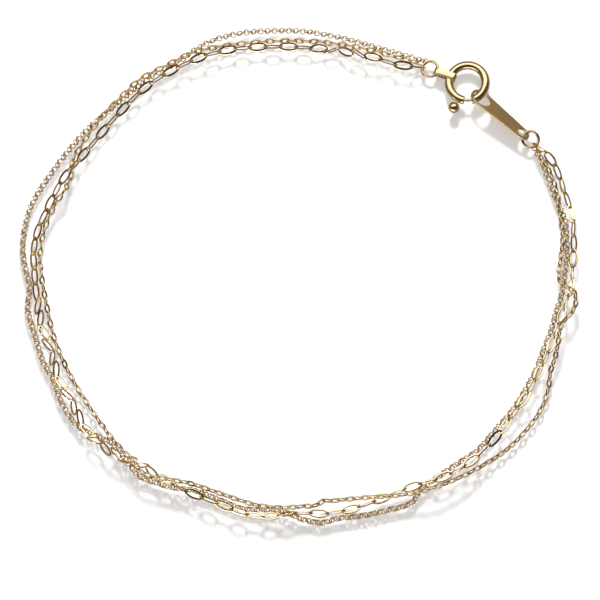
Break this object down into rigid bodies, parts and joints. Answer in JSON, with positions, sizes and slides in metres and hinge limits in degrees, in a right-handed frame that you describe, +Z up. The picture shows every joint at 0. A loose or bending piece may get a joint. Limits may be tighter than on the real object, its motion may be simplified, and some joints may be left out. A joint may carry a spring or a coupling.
{
  "type": "bracelet",
  "caption": "Fine gold bracelet of three chains, oval link, cable and spiral screw link, laid in a loop, with a spring-ring clasp and a tapered tag plate.",
  "frame": {"origin": "centre of the bounding box's underside, on the table that the loop lies on", "axes": "+Z up from the table, +X across the loop's longer way with the clasp towards +X and +Y"},
  "size_m": [0.0621, 0.0567, 0.0024],
  "materials": {
    "polished_gold": "polished yellow gold alloy",
    "brushed_gold": "brushed yellow gold alloy"
  },
  "bodies": {
    "bracelet": {"oval_chain": "polished_gold", "cable_chain": "polished_gold", "screw_chain": "polished_gold", "spring_ring_tube": "polished_gold", "clasp_band": "polished_gold", "jump_ring_clasp": "polished_gold", "tag_plate": "brushed_gold", "jump_ring_plate": "polished_gold"},
    "trigger": {"trigger_bolt": "polished_gold"}
  },
  "joints": [
    {"name": "trigger_slide", "type": "hinge", "parent": "bracelet", "child": "trigger", "pos_m": [0.01871, 0.02192, 0.00093], "axis": [-0.0616, 0.0616, 0.9962], "range_deg": [-30, 0], "stiffness_Nm_per_rad": 0.003, "springref_deg": 20.05}
  ]
}
